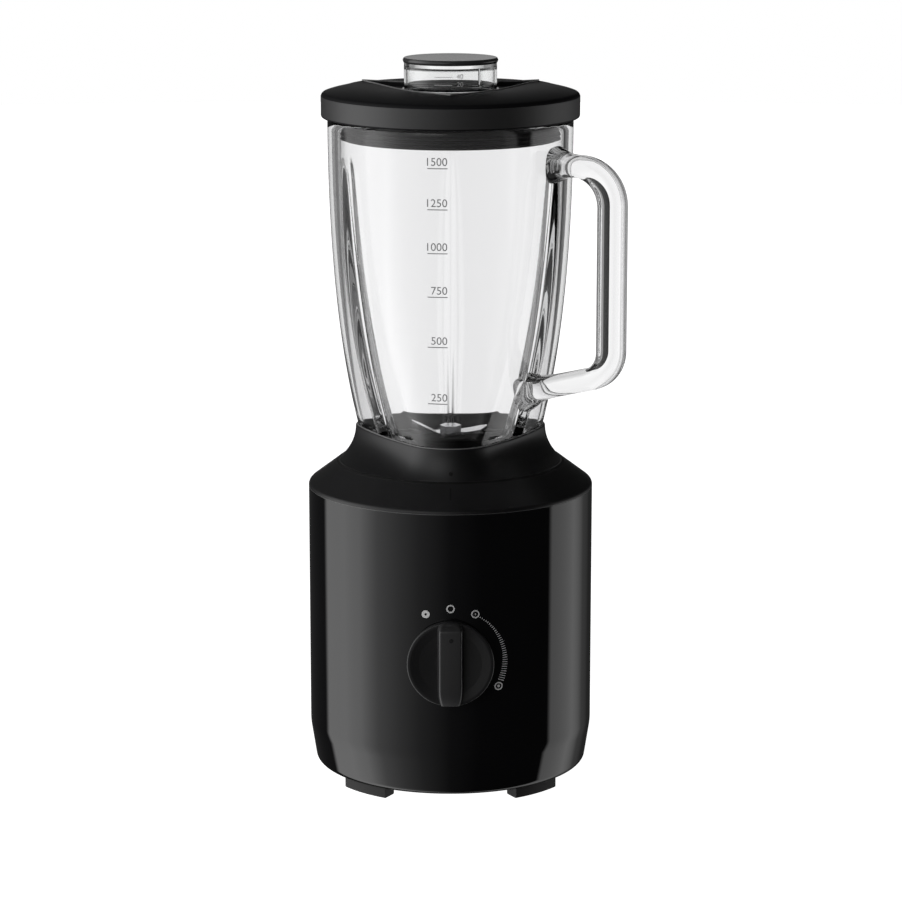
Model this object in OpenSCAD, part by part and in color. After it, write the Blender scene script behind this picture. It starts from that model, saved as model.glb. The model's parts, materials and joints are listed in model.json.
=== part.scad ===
// Countertop blender: motor base, glass jug, lid and measuring cap.
// Millimetres, +Z up. The origin is on the motor axis at the table plane, and the knob faces -Y.
// Azimuths are measured from the front (-Y) towards +X.

/* [Base] */
// Outer radius of the gloss housing
body_r = 83.6; // [82:0.2:86]
// Height of the joint between the gloss housing and the matt deck
deck_z = 173.6; // [172:0.2:175]
// Height of the clear space under the base
foot_h = 6.2; // [5.5:0.1:6.5]
// Thickness of the housing wall
wall = 3; // [2.5:0.1:3.2]
// Half angle of each rubber foot
foot_half = 12; // [10:0.5:20]

/* [Knob] */
// Height of the speed knob's axis
knob_z = 87; // [80:0.5:98]
// Radius of the speed knob
knob_r = 25; // [22:0.5:27]
// Width of the grip bar across the knob
grip_w = 15; // [12:0.5:17]
// How far the grip bar stands out from the disc
grip_h = 8.5; // [5:0.5:10]

/* [Jug] */
// Height of the glass rim
rim_z = 390; // [388:0.5:390]
// Corner radius distance of the glass at the rim
jug_top_v = 72; // [71:0.5:72.5]
// Corner radius distance of the glass at the collar
jug_low_v = 59; // [58:0.5:59]
// Thickness of the glass wall
glass_t = 7.5; // [6.5:0.5:8]
// Depth of the three outside flutes
flute_d = 5; // [3:0.5:5.5]
// Distance from the axis to the middle of the handle grip
grip_rho = 105.5; // [102:0.5:108]

/* [Lid and cap] */
// Corner radius distance of the lid
lid_v = 76.3; // [75:0.1:77]
// Radius of the round hole for the cap
lid_hole_r = 27.3; // [27.2:0.1:28]
// Radius of the dark disc on the cap
cap_r = 27.6; // [27:0.1:29]
// Overall height
total_h = 424; // [423:0.5:426]

/* [Hidden] */
// Sides of a round shape in the preview
$fn = 72;

black = [0.06, 0.06, 0.06];
gloss = [0.02, 0.02, 0.02];
rubber = [0.10, 0.10, 0.10];
steel = [0.70, 0.71, 0.72];
zinc = [0.78, 0.78, 0.80];
copper = [0.72, 0.40, 0.20];
brass = [0.80, 0.66, 0.30];
clear = [0.85, 0.92, 0.95, 0.4];
board_green = [0.10, 0.35, 0.18];
cream = [0.85, 0.82, 0.74];
carbon = [0.15, 0.15, 0.16];

// Levels of the base
plate_t = 3;
plate_z = foot_h;
lip_z = deck_z + 1.4;       // where the deck's vertical lip turns into its cone
seam_z = 188.4;             // top edge of the deck, where the jug's collar begins
seat_z = 184;               // ledge that carries the jug
seat_r = 65.4;
well_r = 38.5;
well_z = 172;
pin_z = 168;                // flange of the interlock pin

inlet_z = 32;
foot_azimuths = [42, 138, 222, 318];
screw_azimuths = [20, 110, 200, 290];

// Levels of the motor, from the fan up
fan_z = 15;
lower_bearing_z = 34;
brush_z = 54;
stack_z = 74;
stack_h = 40;
upper_bearing_z = 130;
bracket_z = 135;
mount_z = 148;
shaft_r = 4;
run_gap = 0.05;
armature_r = 24.5;

// Levels of the jug
ring_z = 192;               // underside of the glass
rim_c = 206;                // top edge of the collar
floor_z = 198;              // inside floor of the glass
hole_r = 36;                // hole in the floor for the blade carrier
spin_gap = 0.4;

// Levels of the lid and cap
band_z = 391.8;
crease_z = 404;
crease_inset = 2.4;
dome_z = 410.5;
dish_z = 404.6;
plug_z = 377;
disc_t = 3;

// ---- helpers ----

// Unit vector at an azimuth from the front
function dir(az) = [sin(az), -cos(az)];

// Places children at an azimuth, a radius and a height, with local +X pointing outwards
module at(az, r, z = 0) {
    translate([r * sin(az), -r * cos(az), z]) rotate([0, 0, az - 90]) children();
}

// Arc that rounds corner b between a and c with radius f
function corner(a, b, c, f, n = 6) =
    f <= 0 ? [b] :
    let (
        u = (a - b) / norm(a - b),
        v = (c - b) / norm(c - b),
        half = acos(u * v) / 2,
        m = b + (u + v) / norm(u + v) * f / sin(half),
        s = b + u * f / tan(half) - m,
        turn = sign(u[0] * v[1] - u[1] * v[0]) * (180 - 2 * half)
    )
    [for (i = [0:n]) let (t = -turn * i / n)
        m + [s[0] * cos(t) - s[1] * sin(t), s[0] * sin(t) + s[1] * cos(t)]];

// Outline from points [x, y, rounding]
function rounded(p) =
    let (n = len(p), xy = [for (q = p) [q[0], q[1]]])
    [for (i = [0:n - 1])
        for (q = corner(xy[(i + n - 1) % n], xy[i], xy[(i + 1) % n], len(p[i]) > 2 ? p[i][2] : 0)) q];

// Solid of revolution from a rounded outline of [radius, height]
module lathe(p) {
    rotate_extrude() polygon(rounded(p));
}

module tube(r_out, r_in, h) {
    difference() {
        cylinder(r = r_out, h = h);
        translate([0, 0, -1]) cylinder(r = r_in, h = h + 2);
    }
}

// Box centred in X and Y
module block(x, y, z) {
    translate([-x / 2, -y / 2, 0]) cube([x, y, z]);
}

// Points along -Y from a point on the housing's front, so parts of the knob are drawn along +Z
module facing_front() {
    translate([0, 0, knob_z]) rotate([90, 0, 0]) children();
}

// Closed bar through rings of equal length, with a flat face at each end
module bar(rings) {
    n = len(rings);
    m = len(rings[0]);
    faces = [
        [for (k = [0:m - 1]) k],
        for (i = [0:n - 2], k = [0:m - 1])
            let (a = i * m + k, b = i * m + (k + 1) % m)
            each [[a, a + m, b], [b, a + m, b + m]],
        [for (k = [0:m - 1]) n * m - 1 - k]
    ];
    polyhedron([for (r = rings) each r], faces);
}

// Insulated lead of radius r through points that never run straight up
module lead(p, r) {
    n = len(p);
    bar([for (i = [0:n - 1])
        let (
            d = p[min(n - 1, i + 1)] - p[max(0, i - 1)],
            side = cross(d, [0, 0, 1]) / norm(cross(d, [0, 0, 1])),
            up = cross(side, d) / norm(d)
        )
        [for (a = [0:45:315]) p[i] + r * (side * cos(a) - up * sin(a))]]);
}

// Joins rings of equal length into one closed skin that also closes on itself
module skin(rings) {
    n = len(rings[0]);
    m = len(rings);
    faces = [for (j = [0:m - 1], i = [0:n - 1])
        let (
            next = (i + 1) % n,
            above = ((j + 1) % m) * n,
            a = j * n + i,
            b = j * n + next,
            c = above + i,
            d = above + next
        )
        each [[a, c, b], [b, c, d]]];
    polyhedron([for (r = rings) each r], faces);
}

// Radius of a three-cornered outline at an angle t from a corner: corner distance v, side distance s,
// corner rounding c. The sides are wide arcs that meet the corner arcs smoothly.
function three(t, v, s, c) =
    let (
        a = abs((t % 120 + 180) % 120 - 60),
        u = v - c,
        k = s - c,
        w = (u * u - k * k) / (2 * k - u),
        side = w + s,
        join = atan2(w * sin(60), u + w * cos(60)),
        flat = a > atan2(c * sin(join), u + c * cos(join)),
        e = 60 - a
    )
    flat
        ? -w * cos(e) + sqrt(side * side - pow(w * sin(e), 2))
        : u * cos(a) + sqrt(c * c - pow(u * sin(a), 2));

// ---- base ----

module outer_housing() {
    inner = body_r - wall;
    color(gloss) difference() {
        union() {
            lathe([[76, plate_z], [79.9, plate_z, 4.3], [body_r, 30, 40], [body_r, deck_z],
                [inner, deck_z], [inner, 31, 36], [77.6, plate_z + 6], [76, plate_z + plate_t]]);
            for (az = screw_azimuths) housing_post(az);
        }
        for (az = screw_azimuths) at(az, 68, plate_z) cylinder(r = 1.6, h = 28);
        facing_front() translate([0, 0, 60]) cylinder(r = 9, h = 40);
        translate([0, 60, inlet_z]) rotate([-90, 0, 0]) cylinder(r = 8, h = 40);
    }
}

// Screw post with a rib that ties it to the wall
module housing_post(az) {
    at(az, 68, plate_z + plate_t) {
        cylinder(r = 4.5, h = 26);
        translate([0, -1.5, 4]) cube([12, 3, 22]);
    }
}

module top_deck() {
    color(black) difference() {
        union() {
            lathe([[80.3, deck_z], [body_r, deck_z], [body_r, lip_z, 2.7], [65.8, seam_z],
                [seat_r, seam_z], [seat_r, seat_z], [well_r, seat_z, 0.8], [well_r - 1, well_z, 1.5],
                [20, well_z], [20, well_z - 3], [40.4, well_z - 3, 2], [41.4, 181.2, 1],
                [68, 181.2], [78, deck_z], [78, 166], [80.3, 166]]);
            for (az = [60, 180, 300]) at(az, 55, seat_z - 0.5) block(10, 9, seam_z - seat_z);
            for (az = [45:90:315]) at(az, 58, mount_z) cylinder(r = 5, h = 181.7 - mount_z);
            at(90, 55, 174) tube(6.5, 3.4, 7.7);
        }
        for (az = [45:90:315]) at(az, 58, mount_z - 1) cylinder(r = 1.6, h = 22);
        at(90, 55, 165) cylinder(r = 3.4, h = 30);
    }
}

module base_plate() {
    color(black) difference() {
        union() {
            translate([0, 0, plate_z]) cylinder(r = 75.8, h = plate_t);
            translate([0, 0, plate_z + plate_t]) tube(62, 60, 3);
        }
        for (az = [0:15:345]) at(az, 29, plate_z - 1) block(16, 2.6, plate_t + 2);
        for (az = screw_azimuths) at(az, 68, plate_z - 1) cylinder(r = 2.1, h = plate_t + 2);
        for (az = screw_azimuths) at(az, 68, plate_z - 1) cylinder(r = 4.2, h = 2.8);
        for (az = foot_azimuths, s = [-7, 7]) at(az + s, 71, plate_z - 1) cylinder(r = 2, h = plate_t + 2);
    }
}

module rubber_feet() {
    color(rubber) for (az = foot_azimuths) {
        rotate([0, 0, az - 90 - foot_half]) rotate_extrude(angle = 2 * foot_half)
            polygon(rounded([[66, 0, 0.8], [76.4, 0, 0.8], [76.4, foot_h], [66, foot_h]]));
        for (s = [-7, 7]) at(az + s, 71, foot_h - 0.5) cylinder(r = 1.9, h = 3.3);
    }
}

// Pan-head screw that points up, with its head at the bottom
module screw(r, h, head_r, head_h) {
    cylinder(r = head_r, h = head_h);
    translate([0, 0, head_h]) cylinder(r = r, h = h);
}

module base_screws() {
    color(steel) for (az = screw_azimuths) at(az, 68, plate_z + 0.2) screw(1.5, 20, 3.6, 1.6);
}

module cord_inlet() {
    color(rubber) translate([0, 74.8, inlet_z]) rotate([-90, 0, 0]) difference() {
        union() {
            cylinder(r = 10.5, h = 3.2);
            cylinder(r = 7.9, h = 10);
        }
        translate([0, 0, -1]) cylinder(r = 4, h = 12);
    }
}

module knob_bushing() {
    color(black) facing_front() difference() {
        union() {
            translate([0, 0, 75]) cylinder(r = 13, h = 4.4);
            translate([0, 0, 75]) cylinder(r = 8.9, h = 8.4);
        }
        translate([0, 0, 74]) cylinder(r = 4, h = 12);
    }
}

module spill_seal() {
    color(rubber) lathe([[16, well_z - 4.5], [23, well_z - 4.5], [23, well_z - 3.1], [19.7, well_z - 3.1],
        [19.7, well_z + 1.2, 0.5], [16, well_z + 1.2, 0.5]]);
}

// ---- motor ----

module motor_stator() {
    color(zinc) translate([0, 0, stack_z]) difference() {
        intersection() {
            block(92, 80, stack_h);
            cylinder(r = 56, h = stack_h);
        }
        translate([0, 0, -1]) cylinder(r = armature_r + 1, h = stack_h + 2);
        for (sx = [-1, 1], sy = [-1, 1])
            translate([sx * 34, sy * 23, -1]) block(12, 14, stack_h + 2);
        for (sx = [-1, 1], sy = [-1, 1])
            translate([sx * 41, sy * 34.5, -1]) cylinder(r = 2.5, h = stack_h + 2);
    }
}

module field_coils() {
    color(copper) for (s = [-1, 1]) translate([s * 34, 0, stack_z - 8]) difference() {
        block(10, 59, stack_h + 16);
        translate([0, 0, 7.6]) block(12, 33, stack_h + 0.8);
    }
}

// Bridge of a motor bracket: a plate cut to the stack's outline
module bridge(t) {
    intersection() {
        block(92, 80, t);
        cylinder(r = 56, h = t);
    }
}

module upper_bracket() {
    color(steel) difference() {
        union() {
            translate([0, 0, bracket_z - 3]) bridge(3);
            translate([0, 0, upper_bearing_z - 2]) cylinder(r = 15, h = 14);
            for (az = [45:90:315]) at(az, 32, bracket_z) block(64, 14, 4);
            for (az = [45:90:315]) at(az, 58, bracket_z) cylinder(r = 7, h = 4);
            for (sx = [-1, 1], sy = [-1, 1])
                translate([sx * 41, sy * 34.5, stack_z + stack_h + 0.2]) cylinder(r = 4.5, h = 18);
        }
        translate([0, 0, upper_bearing_z - 3]) cylinder(r = 5.5, h = 20);
        translate([0, 0, upper_bearing_z]) cylinder(r = 11, h = 9.2);
        for (az = [45:90:315]) at(az, 58, bracket_z - 4) cylinder(r = 2.2, h = 12);
        for (az = [45:90:315]) at(az, 58, bracket_z - 4) cylinder(r = 4.2, h = 4);
        for (sx = [-1, 1], sy = [-1, 1])
            translate([sx * 41, sy * 34.5, stack_z]) cylinder(r = 2.5, h = 80);
        for (s = [-1, 1]) translate([0, s * 26, bracket_z - 4]) block(34, 14, 4);
    }
}

module lower_bracket() {
    color(steel) difference() {
        union() {
            translate([0, 0, lower_bearing_z + 6]) bridge(4);
            translate([0, 0, lower_bearing_z - 2]) cylinder(r = 14, h = 12);
            for (sx = [-1, 1], sy = [-1, 1])
                translate([sx * 41, sy * 34.5, lower_bearing_z + 6]) cylinder(r = 4.5, h = 33.8);
        }
        translate([0, 0, lower_bearing_z - 3]) cylinder(r = 5.5, h = 20);
        translate([0, 0, lower_bearing_z]) cylinder(r = 9, h = 7.2);
        for (sx = [-1, 1], sy = [-1, 1])
            translate([sx * 41, sy * 34.5, lower_bearing_z]) cylinder(r = 2.5, h = 60);
        for (s = [-1, 1]) translate([0, s * 26, lower_bearing_z + 5]) block(34, 14, 6);
    }
}

module upper_bearing() {
    color(steel) translate([0, 0, upper_bearing_z + 0.1]) tube(11, shaft_r + run_gap, 9);
}

module lower_bearing() {
    color(steel) translate([0, 0, lower_bearing_z + 0.1]) tube(9, shaft_r + run_gap, 7);
}

// A brass box at each side that guides a brush towards the commutator
module brush_holders() {
    color(brass) for (a = [0, 180]) rotate([0, 0, a]) translate([16, 0, brush_z]) difference() {
        translate([0, -5.5, -10]) cube([28, 11, 16]);
        translate([-1, -4, -5]) cube([27, 8, 10]);
    }
}

module carbon_brushes() {
    color(carbon) for (a = [0, 180]) rotate([0, 0, a]) translate([12.6, -3.8, brush_z - 4.8])
        cube([16, 7.6, 9.6]);
}

// Spring behind each brush, drawn as the tube that its coils fill
module brush_springs() {
    color(steel) for (a = [0, 180]) rotate([0, 0, a]) translate([28.7, 0, brush_z]) rotate([0, 90, 0])
        tube(3.2, 2.2, 13.2);
}

module motor_bolts() {
    color(zinc) for (sx = [-1, 1], sy = [-1, 1])
        translate([sx * 41, sy * 34.5, lower_bearing_z + 2.8])
            screw(2.4, bracket_z - lower_bearing_z - 3, 4.2, 3.2);
}

module mount_bushes() {
    color(rubber) for (az = [45:90:315]) at(az, 58, bracket_z + 4) tube(6, 2.2, mount_z - bracket_z - 4);
}

module mount_screws() {
    color(zinc) for (az = [45:90:315]) at(az, 58, bracket_z - 2.4) screw(1.5, 30, 3.8, 2.4);
}

// ---- controls ----

module control_board() {
    color(board_green) translate([-34, -57.6, 52]) cube([68, 1.6, 76]);
}

module speed_switch() {
    color(black) difference() {
        facing_front() translate([0, 0, 57.6]) union() {
            translate([-14, -14, 0]) cube([28, 28, 10]);
            cylinder(r = 8, h = 13);
        }
        facing_front() translate([0, 0, 56]) cylinder(r = 3 + run_gap, h = 20);
    }
}

module capacitor() {
    color([0.75, 0.62, 0.12]) translate([12, -69, 56]) cube([18, 11.4, 14]);
}

module heat_sink() {
    color(zinc) translate([-32, -57.6, 56]) {
        translate([0, -3, 0]) cube([24, 3, 16]);
        for (i = [0:5]) translate([4.4 * i, -11, 0]) cube([2, 8, 16]);
    }
}

// Leads from the board's lower edge to the outer end of each brush holder
module motor_leads() {
    color([0.75, 0.08, 0.06]) for (s = [-1, 1])
        lead([[s * 28, -55.9, 60], [s * 28, -52, 60], [s * 40, -45, 59], [s * 50, -34, 58],
            [s * 52, -10, 57], [s * 49, 0, 56], [s * 44.2, 0, 56]], 1.1);
}

module interlock_switch() {
    color(black) union() {
        translate([45, -6, pin_z - 18]) cube([20, 12, 10]);
        translate([62, -6, pin_z - 9]) cube([3, 12, 181.2 - pin_z + 9]);
        translate([55, 0, pin_z - 8.5]) cylinder(r = 2, h = 3.1);
    }
}

module interlock_pin() {
    color(cream) translate([55, 0, pin_z - 2]) {
        cylinder(r = 3.1, h = 21);
        translate([0, 0, 2]) cylinder(r = 5, h = 1);
    }
}

module fan_shroud() {
    color(black) translate([0, 0, plate_z + plate_t]) lathe([[45, 0], [48.5, 0], [48.5, 2], [47, 2],
        [47, 24], [45, 24]]);
}

// ---- rotor ----

module rotor_shaft() {
    color(steel) translate([0, 0, fan_z - 1]) cylinder(r = shaft_r, h = 179 - fan_z);
}

module armature_core() {
    color(zinc) translate([0, 0, stack_z]) difference() {
        cylinder(r = armature_r, h = stack_h);
        translate([0, 0, -1]) cylinder(r = shaft_r + 0.02, h = stack_h + 2);
        for (a = [0:30:330]) rotate([0, 0, a]) translate([19.5, 0, -1]) block(14, 3, stack_h + 2);
    }
}

// Winding heads above and below the core, with a bar in each slot
module armature_windings() {
    color(copper) {
        translate([0, 0, stack_z - 8])
            lathe([[shaft_r + 3, 0, 2], [21, 0, 3], [22, 7.9], [shaft_r + 3, 7.9]]);
        translate([0, 0, stack_z + stack_h + 0.1])
            lathe([[shaft_r + 3, 0], [22, 0], [21, 8, 3], [shaft_r + 3, 8, 2]]);
        for (a = [0:30:330]) rotate([0, 0, a]) translate([18, 0, stack_z - 1]) block(8, 2.6, stack_h + 2);
    }
}

module commutator() {
    color(copper) translate([0, 0, brush_z - 7]) difference() {
        cylinder(r = 12.3, h = 15);
        translate([0, 0, -1]) cylinder(r = shaft_r + 0.02, h = 17);
        for (a = [0:15:345]) rotate([0, 0, a]) translate([12.3, 0, -1]) block(2, 0.5, 13);
    }
}

module cooling_fan() {
    color(black) translate([0, 0, fan_z]) difference() {
        union() {
            cylinder(r = 9, h = 14);
            translate([0, 0, 12]) cylinder(r = 42, h = 2);
            for (a = [0:30:330]) rotate([0, 0, a]) translate([8, -0.9, 0]) cube([34, 1.8, 13]);
        }
        translate([0, 0, -1]) cylinder(r = shaft_r + 0.02, h = 16);
    }
}

// Six-lobed star, as a set of upright cylinders
module star(r, lobe, h) {
    cylinder(r = r, h = h);
    for (a = [0:60:300]) rotate([0, 0, a]) translate([8.6, 0, 0]) cylinder(r = lobe, h = h);
}

module drive_coupling() {
    color(carbon) difference() {
        union() {
            translate([0, 0, 171.5]) cylinder(r = 14.5, h = 14);
            translate([0, 0, 164]) cylinder(r = 9, h = 8);
        }
        translate([0, 0, 163]) cylinder(r = shaft_r + 0.02, h = 15);
        translate([0, 0, 178.4]) star(8 + spin_gap, 2.2 + spin_gap, 10);
    }
}

// ---- knob ----

module speed_knob() {
    back = 84.2;
    face = 88.6;
    color(black) facing_front() difference() {
        union() {
            lathe([[0, back], [knob_r, back, 0.3], [knob_r, face, 1.2], [knob_r - 2.5, face, 0.6],
                [knob_r - 8, face - 0.7, 6], [9, face - 1.2], [0, face - 1.2]]);
            knob_bar(face);
        }
        translate([0, 0, back - 2]) cylinder(r = 3.05, h = grip_h + 5);
        translate([0, 0, back - 0.1]) tube(20, 12, 1.6);
    }
}

// Grip bar across the whole disc
module knob_bar(face) {
    low = face - 3;
    intersection() {
        translate([-grip_w / 2, -knob_r, low]) cube([grip_w, 2 * knob_r - 2, grip_h + face - low]);
        translate([0, 0, low]) cylinder(r1 = knob_r - 0.3, r2 = knob_r - 1.7, h = grip_h + face - low);
    }
}

module knob_shaft() {
    color(steel) facing_front() translate([0, 0, 58]) cylinder(r = 3, h = 34);
}

module interlock_spring() {
    color(steel) translate([55, 0, pin_z - 8]) tube(5, 4, 8);
}

// ---- jug ----

// How far the outline has moved from the rim's shape (0) to the collar's shape (1) at height z
function taper(z) =
    let (s = min(1, max(0, (rim_z - z) / (rim_z - rim_c))))
    0.73 * s * s + 0.27 * pow(s, 4);

// Depth of a flute at height z and angle t from a corner, on one side of it
function flute(z, t) =
    let (
        a = abs((t % 120 + 180) % 120 - 60),
        off = (60 - a) * 0.92,
        grow = min(1, max(0, (366 - z) / 110)),
        half = 2 + 6.2 * sqrt(grow)
    )
    off < half ? flute_d * sqrt(grow) * pow(cos(90 * off / half), 2) : 0;

// Outer radius of the glass
function glass_r(t, z) =
    let (b = taper(z))
    three(t, jug_top_v - (jug_top_v - jug_low_v) * b, 69.4 - 24.4 * b, 66 - 39.5 * b) - flute(z, t);

// Azimuths of the points in each ring of the jug and the collar
angles = [for (t = [0:3.75:357]) t];

// Ring of points at height z from a list of radii
function ring(z, radii) =
    [for (i = [0:len(angles) - 1]) [radii[i] * sin(angles[i]), -radii[i] * cos(angles[i]), z]];
function glass_ring(z, inset) = ring(z, [for (t = angles) glass_r(t, z) - inset]);
function round_ring(z, r) = ring(z, [for (t = angles) r]);

module glass_jug() {
    color(clear) {
        skin([
            glass_ring(ring_z, 3), glass_ring(ring_z + 2, 0.8), glass_ring(rim_c - 8, 0),
            for (z = [rim_c:18.4:rim_z - 20]) glass_ring(z, 0),
            glass_ring(rim_z - 8, 0), glass_ring(rim_z - 2, 0), glass_ring(rim_z, 2),
            glass_ring(rim_z, glass_t - 1.5), glass_ring(rim_z - 2, glass_t),
            for (z = [rim_z - 14:-24:rim_c + 12]) glass_ring(z, glass_t),
            glass_ring(rim_c, glass_t + 1), glass_ring(floor_z + 2, glass_t + 3),
            round_ring(floor_z, hole_r + 0.6), round_ring(floor_z - 0.6, hole_r), round_ring(ring_z, hole_r)
        ]);
        jug_handle();
    }
}

// Centre line of the handle as [distance from the axis, height], with rounded corners
handle_line = rounded([[66.5, 366], [grip_rho, 366, 22], [grip_rho, 248, 17], [46, 232.2]]);

// The handle is a flattened bar swept along its centre line, at 60 degrees from the front
module jug_handle() {
    p = handle_line;
    n = len(p);
    sides = 16;
    function across(i) =
        let (d = p[min(n - 1, i + 1)] - p[max(0, i - 1)]) [d[1], -d[0]] / norm(d);
    function section(i) =
        let (o = across(i), upright = abs(o[0]), half = 6.2 + 1.3 * upright)
        [for (k = [0:sides - 1])
            let (
                a = 360 * k / sides,
                x = half * sign(cos(a)) * pow(abs(cos(a)), 0.7),
                y = 9.5 * sign(sin(a)) * pow(abs(sin(a)), 0.7),
                q = p[i] + o * x
            )
            [q[0] * sin(60) + y * cos(60), -q[0] * cos(60) + y * sin(60), q[1]]];
    bar([for (i = [0:n - 1]) section(i)]);
}

// Collar: a circle at the seam that flares up into the three-cornered rim around the glass
module jug_collar() {
    steps = 6;
    function blend(f) =
        let (g = pow(1 - f, 2.1), z = seam_z + (rim_c - seam_z) * f)
        ring(z, [for (t = angles) let (top = three(t, 60.5, 46.5, 28)) top + (65.1 - top) * g]);
    function inside(z) = ring(z, [for (t = angles) glass_r(t, z) + 0.5]);
    color(black) skin([
        round_ring(seat_z, 64.6), round_ring(seat_z + 0.5, 65.1),
        for (k = [0:steps]) blend(k / steps),
        inside(rim_c), inside(rim_c - 8), inside(ring_z + 0.5),
        round_ring(ring_z, 55.6), round_ring(ring_z - 0.8, 55.6),
        round_ring(seat_z + 3.2, 61.6), round_ring(seat_z, 61.6)
    ]);
}

// Ring under the glass that the blade carrier's lugs turn into
module bayonet_ring() {
    color(black) difference() {
        union() {
            lathe([[45.4, seat_z], [61.3, seat_z], [61.3, seat_z + 3.2], [55, ring_z - 0.8],
                [55, ring_z], [45.4, ring_z]]);
            for (az = [0, 120, 240]) rotate([0, 0, az - 90 - 12]) rotate_extrude(angle = 24)
                polygon([[42, seat_z + 0.4], [46, seat_z + 0.4], [46, seat_z + 2.6], [42, seat_z + 2.6]]);
        }
        for (az = [60, 180, 300]) at(az, 55, seat_z - 1) block(11, 10, seam_z - seat_z + 1.8);
        at(90, 55, seat_z - 1) cylinder(r = 4, h = 5);
    }
}

// ---- blade unit ----

module blade_carrier() {
    color(black) {
        lathe([[7.1, 186.6], [14, 186.6], [16, 188.2, 1], [30, 188.2], [31, 187], [41, 187],
            [41, 190.4], [35.5, 190.4], [35.5, 196.5, 1.5], [17, 198, 3], [12, 201.4, 1],
            [7.1, 201.4]]);
        for (az = [0, 120, 240]) rotate([0, 0, az - 90 - 11]) rotate_extrude(angle = 22)
            polygon([[40, 187], [44.8, 187], [44.8, 190], [40, 190]]);
        for (az = [30, 150, 270]) at(az, 26.5, 178) block(13, 3, 10.8);
    }
}

module carrier_seal() {
    color(rubber) lathe([[36.4, 190.4], [40.8, 190.4], [40.8, ring_z], [36.4, ring_z]]);
}

module blade_bushes() {
    color(brass) for (z = [186.8, 194.6]) translate([0, 0, z]) tube(7.1, shaft_r + run_gap, 5);
}

module shaft_seal() {
    color(rubber) translate([0, 0, 199.8]) tube(7.1, shaft_r + 0.3, 1.6);
}

module blade_shaft() {
    color(steel) translate([0, 0, 179]) cylinder(r = shaft_r, h = 29);
}

// Bent blade: a side view with one bend each side, cut to an outline with two tapered arms.
// The arm towards +X is bent by the angle low, and the other by the angle high.
module blade(bend, reach, low, high) {
    t = 1.6;
    w = 11;
    tip = bend + reach;
    arm = [[6, -w / 2], [tip * 0.72, -w / 2], [tip, w * 0.1], [tip, w * 0.32], [tip * 0.86, w / 2], [6, w / 2]];
    difference() {
        union() {
            cylinder(r = 8, h = t);
            intersection() {
                rotate([90, 0, 0]) linear_extrude(w + 2, center = true) polygon([
                    [-bend - tip * cos(high), tip * sin(high)], [-bend, 0],
                    [bend, 0], [bend + tip * cos(low), tip * sin(low)],
                    [bend + tip * cos(low) - t * sin(low), tip * sin(low) + t * cos(low)],
                    [bend - t * tan(low / 2), t], [-bend + t * tan(high / 2), t],
                    [-bend - tip * cos(high) + t * sin(high), tip * sin(high) + t * cos(high)]]);
                translate([0, 0, -20]) linear_extrude(60) polygon(concat(arm, [for (q = arm) -q]));
            }
        }
        translate([0, 0, -1]) cylinder(r = shaft_r + run_gap, h = t + 2);
    }
}

module upper_blade() {
    color(steel) translate([0, 0, 204]) rotate([0, 0, 14]) blade(9, 16, 5, 26);
}

module lower_blade() {
    color(steel) translate([0, 0, 202.3]) rotate([0, 0, 100]) blade(9.5, 14, -5, 22);
}

module blade_washers() {
    color(steel) for (z = [201.5, 205.7]) translate([0, 0, z]) tube(6.5, shaft_r + 0.05, 0.7);
}

module blade_nut() {
    color(steel) difference() {
        translate([0, 0, 206.5]) cylinder(r = 6.5, h = 2.8, $fn = 6);
        translate([0, 0, 206]) cylinder(r = shaft_r + 0.02, h = 2.5);
    }
}

module driven_coupling() {
    color(carbon) difference() {
        union() {
            translate([0, 0, 178.9]) star(8, 2.2, 6.6);
            translate([0, 0, 185.4]) cylinder(r = 6.5, h = 1);
        }
        translate([0, 0, 178]) cylinder(r = shaft_r + 0.02, h = 10);
    }
}

// ---- lid and cap ----

// The lid's dish is a triangle with its corners over the jug's corners
dish_mid = 29.5;
dish_corner = 59.5;
function dish_r(t) =
    let (a = abs((t % 120 + 180) % 120 - 60))
    min(dish_corner, dish_mid / cos(60 - a));

// The edge of the dish is lowest at the middle of each side
function crest_z(t) = 406.1 + 1.7 * (dish_r(t) - dish_mid) / (dish_corner - dish_mid);

// Radius of the lid's outline, as a triangle with bowed sides and round corners
function lid_r(t) = three(t, lid_v, 73.2, 66);

// Point of the lid's top at azimuth t, from the crease (f = 0) to the edge of the dish (f = 1):
// a flat dome that dips towards the dish
function dome_point(t, f) =
    let (
        edge = lid_r(t) - crease_inset,
        r = edge * (1 - f) + dish_r(t) * f,
        fall = dome_z - (dome_z - crease_z) * pow(dish_r(t) / edge, 4) - crest_z(t),
        z = dome_z - (dome_z - crease_z) * pow(r / edge, 4) - fall * pow(f, 1.7)
    )
    [r * sin(t), -r * cos(t), z];

module lid() {
    ts = [0:5:355];
    function point(t, r, z) = [r * sin(t), -r * cos(t), z];
    function circle_at(r, z) = [for (t = ts) point(t, r, z)];
    function outline(inset, z) = [for (t = ts) point(t, lid_r(t) - inset, z)];
    color(black) skin([
        circle_at(lid_hole_r, plug_z + 8), circle_at(lid_hole_r, dish_z), circle_at(lid_hole_r + 1.1, dish_z),
        for (f = [1, 0.75, 0.5, 0.25, 0.1, 0]) [for (t = ts) dome_point(t, f)],
        outline(0.6, 402.9), outline(0, 401.6), outline(0, band_z + 1.6),
        outline(1.6, band_z), circle_at(58.3, band_z), circle_at(58.3, plug_z), circle_at(55.5, plug_z),
        circle_at(55.5, 398), circle_at(lid_hole_r + 2.6, 398), circle_at(lid_hole_r + 2.6, plug_z + 8)
    ]);
}

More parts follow.
